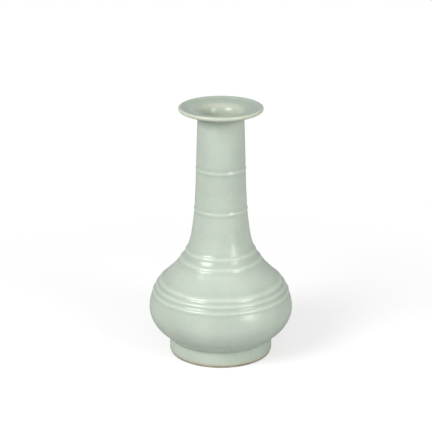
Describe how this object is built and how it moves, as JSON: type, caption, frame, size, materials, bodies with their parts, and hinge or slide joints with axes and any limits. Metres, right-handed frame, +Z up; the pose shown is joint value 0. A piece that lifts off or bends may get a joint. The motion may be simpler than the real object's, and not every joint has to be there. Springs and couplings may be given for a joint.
{
  "type": "long-neck vase",
  "caption": "Ceramic vase with a round body, long slender neck, wide dish mouth, raised bowstring ribs and a pale green celadon glaze over a bare foot rim.",
  "frame": {"origin": "centre of the foot's resting face, on the vase's axis", "axes": "+Z up along the vase's axis towards the mouth; -Y faces the camera; +X to the camera's right"},
  "size_m": [0.1412, 0.1412, 0.25],
  "materials": {
    "bare_foot": "unglazed clay, burnt pale brown, matt",
    "clay": "fired stoneware body under the glaze, matt",
    "celadon_glaze": "pale grey-green celadon glaze, soft gloss, thinner and whiter on ridges and lip"
  },
  "bodies": {
    "root": {"foot_ring": "bare_foot", "lower_body": "clay", "upper_body": "clay", "neck": "clay", "mouth_flange": "clay", "outer_glaze": "celadon_glaze", "inner_glaze": "celadon_glaze", "base_glaze": "celadon_glaze"}
  },
  "joints": []
}
